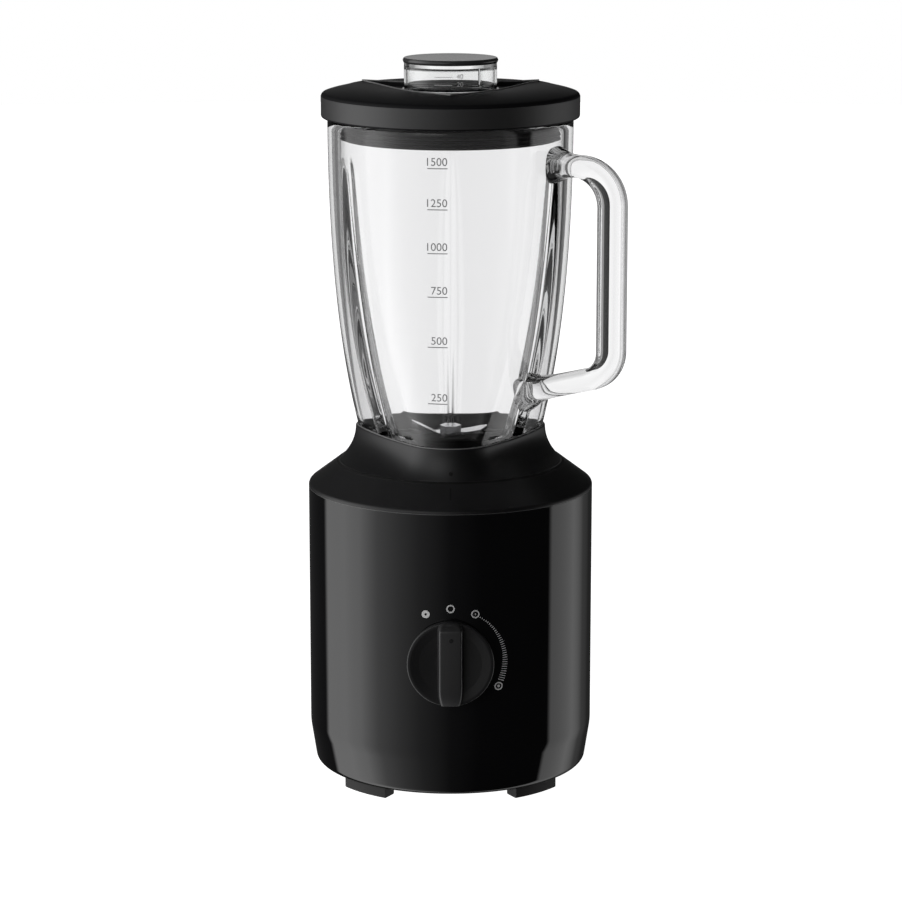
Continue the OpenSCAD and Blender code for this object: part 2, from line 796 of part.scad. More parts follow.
// The seal grips the glass with five fins, and its flange lies on the rim
module lid_seal() {
    fins = [for (z = [378:2.4:388]) each [[59.6, z], [61.5, z + 0.4], [61.5, z + 1], [59.6, z + 1.5]]];
    color(rubber) rotate_extrude() polygon(concat([[58.35, plug_z + 0.5], [59.6, plug_z + 0.5]], fins,
        [[59.6, rim_z + 0.1], [65.5, rim_z + 0.1], [65.5, band_z - 0.1], [58.35, band_z - 0.1]]));
}

// Upside-down cup: its flange hangs in the lid's hole
module measuring_cup() {
    top = total_h - disc_t;
    flange_z = dish_z + 0.1;
    color(clear) {
        lathe([[25, top - 36], [26, top - 36, 0.6], [26.6, flange_z], [28, flange_z, 0.3],
            [28, flange_z + 1.4, 0.3], [26.8, flange_z + 1.4], [26.8, top], [0, top], [0, top - 2],
            [24.8, top - 2, 2]]);
        at(38, 27.4, top - 12) block(2, 2, 10.5);
    }
}

module cap_disc() {
    low = total_h - disc_t;
    color(carbon) lathe([[0, low], [cap_r - 0.4, low, 0.3], [cap_r, low + 1.6, 1],
        [cap_r - 0.6, total_h, 1], [0, total_h]]);
}

outer_housing();
top_deck();
base_plate();
rubber_feet();
base_screws();
cord_inlet();
knob_bushing();
spill_seal();
motor_stator();
field_coils();
upper_bracket();
lower_bracket();
upper_bearing();
lower_bearing();
brush_holders();
carbon_brushes();
brush_springs();
motor_bolts();
mount_bushes();
mount_screws();
control_board();
speed_switch();
capacitor();
heat_sink();
motor_leads();
interlock_switch();
fan_shroud();
rotor_shaft();
armature_core();
armature_windings();
commutator();
cooling_fan();
drive_coupling();
speed_knob();
knob_shaft();
interlock_pin();
interlock_spring();
glass_jug();
jug_collar();
bayonet_ring();
blade_carrier();
carrier_seal();
blade_bushes();
shaft_seal();
blade_shaft();
upper_blade();
lower_blade();
blade_washers();
blade_nut();
driven_coupling();
lid();
lid_seal();
measuring_cup();
cap_disc();
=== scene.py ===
"""Looks of the countertop blender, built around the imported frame.

Lengths are in millimetres until MM scales them. Azimuths are in degrees from the front (-Y) towards +X.
"""
import json
import math

import bmesh
import bpy
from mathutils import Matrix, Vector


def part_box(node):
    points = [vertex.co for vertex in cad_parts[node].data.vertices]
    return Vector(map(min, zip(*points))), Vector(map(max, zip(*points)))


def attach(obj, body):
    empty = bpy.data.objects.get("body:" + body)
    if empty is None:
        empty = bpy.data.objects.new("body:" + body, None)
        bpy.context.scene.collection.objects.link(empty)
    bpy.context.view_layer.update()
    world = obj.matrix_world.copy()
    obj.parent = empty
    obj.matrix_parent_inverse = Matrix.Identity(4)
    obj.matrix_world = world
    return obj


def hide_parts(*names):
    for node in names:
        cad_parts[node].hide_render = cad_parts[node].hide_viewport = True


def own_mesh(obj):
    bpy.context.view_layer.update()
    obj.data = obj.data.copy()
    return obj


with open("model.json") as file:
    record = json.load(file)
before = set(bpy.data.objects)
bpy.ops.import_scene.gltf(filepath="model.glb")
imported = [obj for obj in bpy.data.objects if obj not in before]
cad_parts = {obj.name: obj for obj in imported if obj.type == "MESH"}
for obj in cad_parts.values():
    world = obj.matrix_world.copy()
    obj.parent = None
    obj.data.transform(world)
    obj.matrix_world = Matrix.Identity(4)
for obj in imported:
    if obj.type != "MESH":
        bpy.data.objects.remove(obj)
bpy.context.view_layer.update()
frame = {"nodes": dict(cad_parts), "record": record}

MM = 0.001


def span(node):
    """Lowest and highest corner of a CAD node, in millimetres."""
    low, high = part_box(node)
    return [v / MM for v in low], [v / MM for v in high]


# Sizes read from the frame
BODY_R = span("outer_housing")[1][0]
BODY_LOW = span("outer_housing")[0][2]
DECK_Z = span("outer_housing")[1][2]
SEAM_Z = span("top_deck")[1][2]
COLLAR_Z = span("jug_collar")[1][2]
SEAT_Z = span("jug_collar")[0][2]
GLASS_LOW = span("glass_jug")[0][2]
RIM_Z = span("glass_jug")[1][2]
PLUG_Z = span("lid")[0][2]
KNOB_R = span("speed_knob")[1][0]
KNOB_Z = (span("speed_knob")[0][2] + span("speed_knob")[1][2]) / 2
KNOB_FRONT = -span("speed_knob")[0][1]
DISC_R = span("cap_disc")[1][0]
DISC_LOW = span("cap_disc")[0][2]
TOP_Z = span("cap_disc")[1][2]
CUP_LOW = span("measuring_cup")[0][2]

# Corner radius, side radius and rounding of the three-cornered outlines
JUG_RIM = (72, 69.4, 66)
JUG_FOOT = (59, 45, 26.5)
COLLAR_RIM = (60.5, 46.5, 28)
LID_SHAPE = (76.3, 73.2, 66)

HANDLE_AZIMUTH = 60
DECK_R = 65.8           # radius of the deck's upper edge
COLLAR_R = 65.1         # radius of the collar at the seam
DISC_BACK = 84.4        # distance of the knob's back face from the axis
MARK_R = 31.5           # radius of the circle of icons around the knob
CUP_R = 26.8


# ---- shape helpers ----

def levels(low, high, count):
    """Evenly spaced values from low to high, both included."""
    return [low + (high - low) * k / count for k in range(count + 1)]


def resampled(line, step):
    """Points about one step apart along a line."""
    out = [line[0]]
    for a, b in zip(line, line[1:]):
        parts = max(1, round(math.dist(a, b) / step))
        for k in range(1, parts + 1):
            out.append((a[0] + (b[0] - a[0]) * k / parts, a[1] + (b[1] - a[1]) * k / parts))
    return out


def rounded(points, steps=8):
    """Outline of (x, y, rounding) points with each corner turned into an arc."""
    out = []
    n = len(points)
    for i, p in enumerate(points):
        radius = p[2] if len(p) > 2 else 0
        if not radius:
            out.append((p[0], p[1]))
            continue
        before, after = points[i - 1], points[(i + 1) % n]
        ux, uy = before[0] - p[0], before[1] - p[1]
        vx, vy = after[0] - p[0], after[1] - p[1]
        un, vn = math.hypot(ux, uy), math.hypot(vx, vy)
        ux, uy, vx, vy = ux / un, uy / un, vx / vn, vy / vn
        half = math.acos(max(-1, min(1, ux * vx + uy * vy))) / 2
        bx, by = ux + vx, uy + vy
        bn = math.hypot(bx, by)
        cx, cy = p[0] + bx / bn * radius / math.sin(half), p[1] + by / bn * radius / math.sin(half)
        sx, sy = p[0] + ux * radius / math.tan(half) - cx, p[1] + uy * radius / math.tan(half) - cy
        turn = math.copysign(math.pi - 2 * half, uy * vx - ux * vy)
        for k in range(steps + 1):
            a = turn * k / steps
            out.append((cx + sx * math.cos(a) - sy * math.sin(a), cy + sx * math.sin(a) + sy * math.cos(a)))
    return out


def around(azimuth, radius, z):
    """Point at an azimuth, a radius and a height."""
    a = math.radians(azimuth)
    return (radius * math.sin(a), -radius * math.cos(a), z)


def ring(radius, z, turns):
    """Ring of points. radius and z are numbers or functions of the azimuth."""
    out = []
    for i in range(turns):
        t = 360 * i / turns
        out.append(around(t, radius(t) if callable(radius) else radius, z(t) if callable(z) else z))
    return out


def loft_faces(rings, closed, first=0):
    """Quads between rings of equal length; the rings may close on themselves."""
    n, m = len(rings[0]), len(rings)
    quads = []
    for j in range(m if closed else m - 1):
        for i in range(n):
            a, b = j * n + i, j * n + (i + 1) % n
            c, d = ((j + 1) % m) * n + i, ((j + 1) % m) * n + (i + 1) % n
            quads.append(tuple(first + k for k in (a, b, d, c)))
    return quads


def piece(name, shells, body, material, sharp=35, stands_for=()):
    """One object from (points, faces) shells in millimetres, riding on a CAD body."""
    verts, faces = [], []
    for shell in shells:
        points, polygons = outward(shell)
        faces += [tuple(len(verts) + k for k in polygon) for polygon in polygons]
        verts += [tuple(c * MM for c in p) for p in points]
    mesh = bpy.data.meshes.new(name)
    mesh.from_pydata(verts, [], faces)
    mesh.shade_smooth()
    mesh.set_sharp_from_angle(angle=math.radians(sharp))
    mesh.materials.append(material)
    obj = bpy.data.objects.new(name, mesh)
    bpy.context.scene.collection.objects.link(obj)
    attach(obj, body)
    if stands_for:
        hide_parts(*stands_for)
    return obj


def outward(shell):
    """The same closed shell with doubled points merged and every face turned outwards."""
    bm = bmesh.new()
    corners = [bm.verts.new(p) for p in shell[0]]
    for polygon in shell[1]:
        bm.faces.new([corners[k] for k in polygon])
    bmesh.ops.remove_doubles(bm, verts=bm.verts, dist=0.0005)
    bmesh.ops.recalc_face_normals(bm, faces=bm.faces)
    if bm.calc_volume(signed=True) < 0:
        bmesh.ops.reverse_faces(bm, faces=bm.faces)
    bm.verts.index_update()
    result = [tuple(v.co) for v in bm.verts], [tuple(v.index for v in f.verts) for f in bm.faces]
    bm.free()
    return result


def closed_loft(rings):
    """Shell through rings that also joins the last ring to the first."""
    return [p for r in rings for p in r], loft_faces(rings, True)


def capped_loft(rings):
    """Shell through rings with a flat face at each end."""
    n, m = len(rings[0]), len(rings)
    faces = loft_faces(rings, False) + [tuple(range(n)), tuple(range(n * m - 1, n * (m - 1) - 1, -1))]
    return [p for r in rings for p in r], faces


def poled_loft(rings, first_z, last_z):
    """Shell through rings that ends in a point on the axis beyond the first and the last ring."""
    turns = len(rings[0])
    points = [p for r in rings for p in r] + [(0, 0, first_z), (0, 0, last_z)]
    first, last = len(points) - 2, len(points) - 1
    end = (len(rings) - 1) * turns
    faces = loft_faces(rings, False)
    faces += [(first, (i + 1) % turns, i) for i in range(turns)]
    faces += [(last, end + i, end + (i + 1) % turns) for i in range(turns)]
    return points, faces


def lathe(profile, turns=192):
    """Shell of revolution of a closed (radius, height, rounding) profile. A profile that starts and ends on
    the axis gets a single point at each pole."""
    outline = rounded(profile)
    on_axis = [z for r, z in outline if r < 1e-6]
    rings = [ring(r, z, turns) for r, z in outline if r >= 1e-6]
    if not on_axis:
        return closed_loft(rings)
    return poled_loft(rings, on_axis[0], on_axis[-1])


def three(t, corner, side, rounding):
    """Radius of a three-cornered outline at t degrees from a corner."""
    a = math.radians(abs((t % 120 + 180) % 120 - 60))
    u, k = corner - rounding, side - rounding
    w = (u * u - k * k) / (2 * k - u)
    join = math.atan2(w * math.sin(math.radians(60)), u + w * math.cos(math.radians(60)))
    e = math.radians(60) - a
    if a > math.atan2(rounding * math.sin(join), u + rounding * math.cos(join)):
        return -w * math.cos(e) + math.sqrt((w + side) ** 2 - (w * math.sin(e)) ** 2)
    return u * math.cos(a) + math.sqrt(rounding ** 2 - (u * math.sin(a)) ** 2)


# ---- materials ----

def nodes_of(name):
    """New material with its node tree and its Principled shader."""
    mat = bpy.data.materials.new(name)
    mat.use_nodes = True
    return mat, mat.node_tree, mat.node_tree.nodes["Principled BSDF"]


def add(tree, kind, **values):
    """Node with its sockets or properties set by name."""
    node = tree.nodes.new(kind)
    for key, value in values.items():
        if key in node.inputs:
            node.inputs[key].default_value = value
        else:
            setattr(node, key, value)
    return node


def noise(tree, scale, detail=3, stretch=(1, 1, 1)):
    """Noise on object coordinates. scale is in cells per metre."""
    place = add(tree, "ShaderNodeMapping")
    place.inputs["Scale"].default_value = stretch
    tree.links.new(add(tree, "ShaderNodeTexCoord").outputs["Object"], place.inputs["Vector"])
    texture = add(tree, "ShaderNodeTexNoise", Scale=scale, Detail=detail, Roughness=0.55)
    tree.links.new(place.outputs["Vector"], texture.inputs["Vector"])
    return texture.outputs["Fac"]


def to_range(tree, value, low, high):
    """A noise value stretched to run from low to high."""
    node = add(tree, "ShaderNodeMapRange")
    node.inputs["From Min"].default_value = 0.25
    node.inputs["From Max"].default_value = 0.75
    node.inputs["To Min"].default_value = low
    node.inputs["To Max"].default_value = high
    tree.links.new(value, node.inputs["Value"])
    return node.outputs["Result"]


def tint(tree, value, dark, light):
    """Colour that follows a value from dark to light."""
    ramp = add(tree, "ShaderNodeValToRGB")
    ramp.color_ramp.elements[0].position = 0.3
    ramp.color_ramp.elements[1].position = 0.7
    ramp.color_ramp.elements[0].color = (*dark, 1)
    ramp.color_ramp.elements[1].color = (*light, 1)
    tree.links.new(value, ramp.inputs["Fac"])
    return ramp.outputs["Color"]


def relief(tree, shader, height, depth_mm):
    """Bump of a given depth from a height value."""
    bump = add(tree, "ShaderNodeBump", Strength=1.0, Distance=depth_mm * MM)
    tree.links.new(height, bump.inputs["Height"])
    tree.links.new(bump.outputs["Normal"], shader.inputs["Normal"])


def plastic(name, colour, roughness, grain=0.35, depth=0.01, spread=0.06, specular=0.5):
    """Moulded plastic or rubber: a fine grain, uneven gloss and a slight change of shade over the part."""
    mat, tree, shader = nodes_of(name)
    fine = noise(tree, 1000 / grain, 2)
    broad = noise(tree, 14, 4)
    dark = tuple(c * 0.85 for c in colour)
    light = tuple(c * 1.15 for c in colour)
    tree.links.new(tint(tree, broad, dark, light), shader.inputs["Base Color"])
    gloss = to_range(tree, broad, roughness - spread / 2, roughness + spread / 2)
    tree.links.new(gloss, shader.inputs["Roughness"])
    shader.inputs["Specular IOR Level"].default_value = specular
    relief(tree, shader, fine, depth)
    return mat


def metal(name, colour, roughness, stretch=(1, 1, 1), grain=0.5, depth=0.004):
    """Metal with a grain that may run along one axis."""
    mat, tree, shader = nodes_of(name)
    fine = noise(tree, 1000 / grain, 4, stretch)
    broad = noise(tree, 40, 3)
    dark = tuple(c * 0.82 for c in colour)
    tree.links.new(tint(tree, broad, dark, colour), shader.inputs["Base Color"])
    tree.links.new(to_range(tree, fine, roughness * 0.8, roughness * 1.25), shader.inputs["Roughness"])
    shader.inputs["Metallic"].default_value = 1.0
    relief(tree, shader, fine, depth)
    return mat


def clear(name, colour, ior, ripple):
    """Pressed glass or clear plastic: smooth, with a faint ripple from the mould."""
    mat, tree, shader = nodes_of(name)
    broad = noise(tree, 55, 2)
    tree.links.new(tint(tree, broad, tuple(c * 0.995 for c in colour), colour), shader.inputs["Base Color"])
    shader.inputs["Roughness"].default_value = 0.0
    shader.inputs["Transmission Weight"].default_value = 1.0
    shader.inputs["IOR"].default_value = ior
    relief(tree, shader, broad, ripple)
    return mat


def striped(name, dark, light, pitch_mm, axis, metallic, roughness, depth=0.05):
    """Stacked sheets or wound wire: stripes along one axis."""
    mat, tree, shader = nodes_of(name)
    wave = add(tree, "ShaderNodeTexWave", Scale=1000 / pitch_mm / 20, Distortion=0.3, bands_direction=axis)
    tree.links.new(add(tree, "ShaderNodeTexCoord").outputs["Object"], wave.inputs["Vector"])
    tree.links.new(tint(tree, wave.outputs["Fac"], dark, light), shader.inputs["Base Color"])
    gloss = to_range(tree, noise(tree, 300), roughness - 0.08, roughness + 0.08)
    tree.links.new(gloss, shader.inputs["Roughness"])
    shader.inputs["Metallic"].default_value = metallic
    relief(tree, shader, wave.outputs["Fac"], depth)
    return mat


def circuit_board():
    """Green varnish with paler tracks and round pads."""
    mat, tree, shader = nodes_of("board_green")
    cells = add(tree, "ShaderNodeTexVoronoi", Scale=220, feature="DISTANCE_TO_EDGE")
    tree.links.new(add(tree, "ShaderNodeTexCoord").outputs["Object"], cells.inputs["Vector"])
    tracks = add(tree, "ShaderNodeValToRGB")
    tracks.color_ramp.elements[0].color = (0.10, 0.30, 0.10, 1)
    tracks.color_ramp.elements[1].color = (0.015, 0.10, 0.03, 1)
    tracks.color_ramp.elements[1].position = 0.08
    tree.links.new(cells.outputs["Distance"], tracks.inputs["Fac"])
    tree.links.new(tracks.outputs["Color"], shader.inputs["Base Color"])
    tree.links.new(to_range(tree, noise(tree, 150), 0.25, 0.4), shader.inputs["Roughness"])
    relief(tree, shader, cells.outputs["Distance"], 0.03)
    return mat


MATERIALS = {
    "gloss_housing": plastic("gloss_black", (0.006, 0.006, 0.007), 0.05, grain=9, depth=0.004,
                             spread=0.02),
    "matt_black": plastic("satin_black", (0.013, 0.013, 0.014), 0.42, grain=0.3, depth=0.012),
    "structural_plastic": plastic("moulded_black", (0.028, 0.028, 0.029), 0.5, grain=0.5, depth=0.02),
    "rubber_black": plastic("rubber_black", (0.020, 0.020, 0.020), 0.68, grain=0.4, depth=0.02),
    "carbon": plastic("carbon", (0.040, 0.040, 0.043), 0.6, grain=0.25, depth=0.03),
    "capacitor_yellow": plastic("capacitor_yellow", (0.60, 0.42, 0.04), 0.3, grain=1.5, depth=0.01),
    "lead_red": plastic("lead_red", (0.45, 0.02, 0.015), 0.4, grain=0.8, depth=0.01),
    "pin_cream": plastic("pin_cream", (0.62, 0.58, 0.48), 0.4, grain=0.6, depth=0.01),
    "stainless": metal("stainless", (0.62, 0.62, 0.63), 0.22, stretch=(1, 12, 1), grain=2.5),
    "zinc_steel": metal("zinc_steel", (0.58, 0.58, 0.60), 0.34),
    "die_cast": metal("die_cast", (0.55, 0.56, 0.58), 0.48, grain=0.7, depth=0.03),
    "brass": metal("brass", (0.72, 0.53, 0.20), 0.28),
    "lamination_steel": striped("laminations", (0.16, 0.16, 0.17), (0.42, 0.42, 0.44), 0.8, "Z", 0.8, 0.42),
    "copper": striped("copper_wire", (0.36, 0.12, 0.05), (0.75, 0.33, 0.16), 0.7, "Z", 0.9, 0.35),
    "circuit_board": circuit_board(),
    "clear_glass": clear("jug_glass", (0.992, 0.992, 0.996), 1.5, 0.006),
    "clear_cup": clear("cup_plastic", (0.97, 0.975, 0.975), 1.49, 0.01),
}

# Finishes of single pieces, each close to its slot's material
# black for painted shade in hollows: the seam, the inset alignment marks and the knob's dimple
RECESS_SHADE = plastic("painted_recess_shade", (0.002, 0.002, 0.002), 0.6, grain=0.3, depth=0.002)
PRINT_WHITE = plastic("print_white", (0.95, 0.95, 0.95), 0.5, grain=0.3, depth=0.002)
PRINT_GREY = plastic("print_grey", (0.42, 0.42, 0.43), 0.5, grain=0.3, depth=0.002)
KNOB_SATIN = plastic("knob_satin", (0.016, 0.016, 0.017), 0.34, grain=0.3, depth=0.008)
# the knob's satin black made lighter for the grip bar: painted light on the bar's front
BAR_LIT_SATIN = plastic("bar_painted_light", (0.038, 0.038, 0.039), 0.38, grain=0.3, depth=0.008)
# a darker black that hardly reflects: painted shade on the blade carrier at the jug's bottom
CARRIER_SHADE_BLACK = plastic("carrier_painted_shade", (0.006, 0.006, 0.006), 0.8, grain=0.4, depth=0.01,
                        specular=0.04)
LID_BLACK = plastic("lid_black", (0.012, 0.012, 0.013), 0.55, grain=0.3, depth=0.012, specular=0.1)
# the lid's black made lighter for its vertical band: painted sheen on the lid's side
BAND_LIT_SATIN = plastic("band_painted_sheen", (0.045, 0.045, 0.046), 0.45, grain=0.3, depth=0.012)
# grey of the painted highlights along the collar's rim and the edge of the lid's dish
RIM_HIGHLIGHT_GREY = plastic("rim_painted_highlight", (0.26, 0.26, 0.26), 0.35, grain=0.4, depth=0.004)
# a lighter copy of the smoke grey for the cap's top face: painted light
SMOKE_LIT_TOP = plastic("smoke_painted_light", (0.07, 0.07, 0.072), 0.22, grain=0.5, depth=0.003)
# grey of the painted highlight on the gloss shell's top edge
EDGE_HIGHLIGHT_GREY = plastic("edge_bead", (0.12, 0.12, 0.12), 0.3, grain=0.5, depth=0.003)
SMOKE = plastic("smoke_grey", (0.060, 0.060, 0.061), 0.2, grain=0.5, depth=0.003)


def paint_frame():
    """Gives each carried CAD node the material of its slot, and the blade carrier a darker black that hardly
    reflects, a painted shade for the jug's bottom.
    """
    for part in frame["record"]["subparts"]:
        node = part["node"]
        mesh = frame["nodes"][node].data
        mesh.materials.clear()
        mesh.materials.append(CARRIER_SHADE_BLACK if node == "blade_carrier" else MATERIALS[part["material_slot"]])


# ---- base ----

def housing():
    """Gloss shell: a barrel with a small bright edge where it meets the deck."""
    inner = BODY_R - 2
    foot_r, hem_r, bend_z = 79.9, 76, 30
    profile = [(hem_r, BODY_LOW + 0.1), (foot_r, BODY_LOW, 4.3), (BODY_R, bend_z, 40), (BODY_R, DECK_Z, 0.6),
               (inner, DECK_Z), (inner, bend_z + 1, 38), (foot_r - 1.7, BODY_LOW + 6), (hem_r, BODY_LOW + 3)]
    return piece("housing_shell", [lathe(profile, 360)], "base", MATERIALS["gloss_housing"],
                 stands_for=["outer_housing"])


def edge_bead():
    """Painted highlight: a fine grey line along the top edge of the gloss shell, where its rounded edge
    catches the light.
    """
    low, high, inner = DECK_Z - 0.42, DECK_Z - 0.05, BODY_R - 0.6
    profile = [(inner, low), (BODY_R, low, 0.1), (BODY_R, high, 0.1), (inner, high)]
    return piece("edge_bead", [lathe(profile, 360)], "base", EDGE_HIGHLIGHT_GREY)


def facing(shell):
    """Turns a shell made along +Z to face the front at the knob's height."""
    points, faces = shell
    return [(x, -z, y + KNOB_Z) for x, y, z in points], faces


def dial():
    """Speed knob: a shallow disc with a rounded rim, and the grip bar across it."""
    face = KNOB_FRONT - 8.5
    disc = [(0, DISC_BACK), (KNOB_R - 0.4, DISC_BACK, 0.3), (KNOB_R, face - 0.1, 0.9),
            (KNOB_R - 2.0, face, 0.6), (KNOB_R - 7, face - 0.7, 5), (9, face - 1.2, 6), (0, face - 1.2)]
    half_width, base = 6.4, face - 3
    low_end, top_end = -KNOB_R + 1.8, 24.4
    slope_start, even_end = 20.6, 19

    def section(u):
        """The bar's section at a height u: it narrows at both ends and falls away at the top and below."""
        room = math.sqrt(max(0.5, (KNOB_R - 0.15) ** 2 - u * u))
        end = max(0, (u - (top_end - 4)) / 4)
        low = max(0, (-u - 13) / 11)
        taper_off = 3.4 * (1 - math.sqrt(max(0, 1 - end * end))) + 1.5 * low * low
        half = min(half_width - taper_off, room)
        slope = max(0, (u - slope_start) / (top_end - slope_start))
        top = KNOB_FRONT - 0.08 - 8 * (1 - math.sqrt(max(0, 1 - slope * slope * 0.98)))
        flow = max(0, (-u - 12) / 12.6)
        top -= 4.5 * flow * flow
        fillet = min(1.3, half * 0.5)
        outline = rounded([(half + 1.4, base), (half, top, fillet), (-half, top, fillet),
                           (-half - 1.4, base)], 5)
        return [(x, u, z) for x, z in outline]

    step = 0.6
    stations = [low_end + step * k for k in range(int((even_end - low_end) / step))]
    stations += levels(even_end, top_end, 16)
    bar = capped_loft([section(u) for u in stations])
    # The grip bar's dimple, drawn as a black dot: painted shade of its hollow
    dot_r, dot_up = 1.25, 16.3
    points, faces = lathe([(0, KNOB_FRONT - 0.8), (dot_r, KNOB_FRONT - 0.8), (dot_r, KNOB_FRONT, 0.02),
                           (0, KNOB_FRONT)], 32)
    dot = [(x + 0.4, y + dot_up, z) for x, y, z in points], faces
    return [piece("dial", [facing(lathe(disc))], "knob", KNOB_SATIN,
                  stands_for=["speed_knob"]),
            piece("dial_bar", [facing(bar)], "knob", BAR_LIT_SATIN),
            piece("dial_dot", [facing(dot)], "knob", RECESS_SHADE)]


def on_housing(x, up, proud):
    """Point on the housing's front, x to the right and up above the knob's centre."""
    return x, -math.sqrt((BODY_R + proud) ** 2 - x * x), KNOB_Z + up


def printed(outline, hole=None):
    """Thin closed print on the housing from an outline and an optional hole, as lists of (x, up)."""
    sunk, proud = -0.2, 0.05
    outer = [[on_housing(x, up, p) for x, up in outline] for p in (sunk, proud)]
    if hole is None:
        return capped_loft(outer)
    inner = [[on_housing(x, up, p) for x, up in hole] for p in (proud, sunk)]
    return closed_loft(outer + inner)


def circle(x, up, radius, sides=40):
    """Circle as a list of (x, up)."""
    angles = [2 * math.pi * k / sides for k in range(sides)]
    return [(x + radius * math.cos(a), up + radius * math.sin(a)) for a in angles]


def dial_marks():
    """Printed marks around the knob: pulse, off, the first and the last speed, and a ramp of ticks between."""
    mark = {name: (MARK_R * math.sin(math.radians(a)), MARK_R * math.cos(math.radians(a)))
            for name, a in (("pulse", -26.7), ("off", 0), ("low", 26.7), ("high", 119))}
    shells = [printed(circle(*mark["pulse"], 2.3), circle(*mark["pulse"], 0.7))]
    for name in ("off", "low", "high"):
        shells.append(printed(circle(*mark[name], 2.4), circle(*mark[name], 1.65)))
    shells.append(printed(circle(*mark["low"], 0.45)))
    shells.append(printed(circle(*mark["high"], 0.8)))
    ticks, first, last, tick_r = 33, 33, 112, 31.2
    for k in range(ticks):
        a = math.radians(first + (last - first) * k / (ticks - 1))
        half_length = 0.3 + 1.5 * k / (ticks - 1)
        half_width = 0.21
        corners = []
        for along, across in ((-1, -1), (1, -1), (1, 1), (-1, 1)):
            r, w = tick_r + along * half_length, across * half_width
            corners.append((r * math.sin(a) + w * math.cos(a), r * math.cos(a) - w * math.sin(a)))
        shells.append(printed(corners))
    return piece("dial_marks", shells, "base", PRINT_WHITE)


def pin_spring():
    """Coil spring under the interlock pin, built at the length of the CAD spring it stands for."""
    low, high = span("interlock_spring")
    x0, y0 = (low[0] + high[0]) / 2, (low[1] + high[1]) / 2
    wire, turns, steps, sides = 0.45, 4, 20, 10
    radius = (high[0] - low[0]) / 2 - wire
    rings = []
    for i in range(turns * steps + 1):
        a = 2 * math.pi * i / steps
        z = low[2] + wire + (high[2] - low[2] - 2 * wire) * i / (turns * steps)
        section = []
        for k in range(sides):
            b = 2 * math.pi * k / sides
            r = radius + wire * math.cos(b)
            section.append((x0 + r * math.cos(a), y0 + r * math.sin(a), z + wire * math.sin(b)))
        rings.append(section)
    spring = piece("pin_spring", [capped_loft(rings)], "base", MATERIALS["stainless"],
                   stands_for=["interlock_spring"])
    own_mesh(spring)
    return spring


# ---- jug ----

GLASS_TURNS = 480
WALL = 7.5
FLUTE_TOP = 366         # height where the grooves in the sides begin


def taper(z):
    """How far the outline has moved from the rim's shape (0) to the collar's shape (1)."""
    s = min(1, max(0, (RIM_Z - z) / (RIM_Z - COLLAR_Z)))
    return 0.73 * s * s + 0.27 * s ** 4


def flute(z, t):
    """Depth of the groove that runs down the middle of each side."""
    off = (60 - abs((t % 120 + 180) % 120 - 60)) * 0.92
    grow = min(1, max(0, (FLUTE_TOP - z) / 110))
    half = 2 + 6.2 * math.sqrt(grow)
    if off >= half:
        return 0
    return 5 * math.sqrt(grow) * math.cos(math.pi / 2 * off / half) ** 2


def glass_radius(z, inset=0, grooved=True):
    """The jug's radius at a height, as a function of the azimuth."""
    shape = [rim + (foot - rim) * taper(z) for rim, foot in zip(JUG_RIM, JUG_FOOT)]

    def radius(t):
        return three(t, *shape) - inset - (flute(z, t) if grooved else 0)

    return radius


def glass_ring(z, inset):
    """Ring of the jug's outline at a height."""
    return ring(glass_radius(z, inset), z, GLASS_TURNS)


def jug_wall():
    """Glass wall with its floor, as one closed shell."""
    floor_z, hole_r = GLASS_LOW + 6, 36
    lip_z = RIM_Z - 3
    rings = [glass_ring(GLASS_LOW + up, inset) for up, inset in ((0, 3), (0.7, 1.7), (2, 0.8), (5, 0))]
    rings += [glass_ring(z, 0) for z in levels(GLASS_LOW + 8, lip_z, 56)]
    for k in range(1, 9):
        a = math.pi * k / 9
        rings.append(glass_ring(lip_z + 3 * math.sin(a), (WALL / 2) * (1 - math.cos(a))))
    rings += [glass_ring(z, WALL) for z in levels(lip_z, floor_z + 14, 46)]
    rings += [glass_ring(floor_z + 6, WALL + 1.2), glass_ring(floor_z + 2, WALL + 3.2),
              glass_ring(floor_z + 0.5, WALL + 5.5)]
    for r, z in ((hole_r + 2, floor_z), (hole_r + 0.4, floor_z - 0.2), (hole_r, floor_z - 0.8),
                 (hole_r, GLASS_LOW)):
        rings.append(ring(r, z, GLASS_TURNS))
    return closed_loft(rings)


def jug_handle():
    """Flattened bar along the handle's centre line, flared where it grows out of the glass."""
    grip_r, top_z = 105.5, 366
    bends = [(66, top_z), (grip_r, top_z, 22), (grip_r, 248, 17), (45.5, 232)]
    line = resampled(rounded(bends, 14), 2.5)
    sides, squareness = 40, 0.72
    c, s = math.cos(math.radians(HANDLE_AZIMUTH)), math.sin(math.radians(HANDLE_AZIMUTH))
    rings = []
    for i, (r, z) in enumerate(line):
        before, after = line[max(0, i - 1)], line[min(len(line) - 1, i + 1)]
        dr, dz = after[0] - before[0], after[1] - before[1]
        length = math.hypot(dr, dz)
        out_r, out_z = dz / length, -dr / length
        from_top = math.hypot(r - 69, z - top_z) if z > 340 else 99
        from_low = math.hypot(r - 50, z - 233.5) if z < 250 else 99
        flare = 1 + 0.75 * math.exp(-(from_top / 5.5) ** 1.5) + 0.8 * math.exp(-(from_low / 8) ** 1.5)
        half = (6.2 + 1.3 * abs(out_r)) * flare
        wide = 9.5 * (1 + 0.25 * (flare - 1))
        section = []
        for k in range(sides):
            a = 2 * math.pi * k / sides
            x = half * math.copysign(abs(math.cos(a)) ** squareness, math.cos(a))
            y = wide * math.copysign(abs(math.sin(a)) ** squareness, math.sin(a))
            qr, qz = r + out_r * x, z + out_z * x
            section.append((qr * s + y * c, -qr * c + y * s, qz))
        rings.append(section)
    return capped_loft(rings)


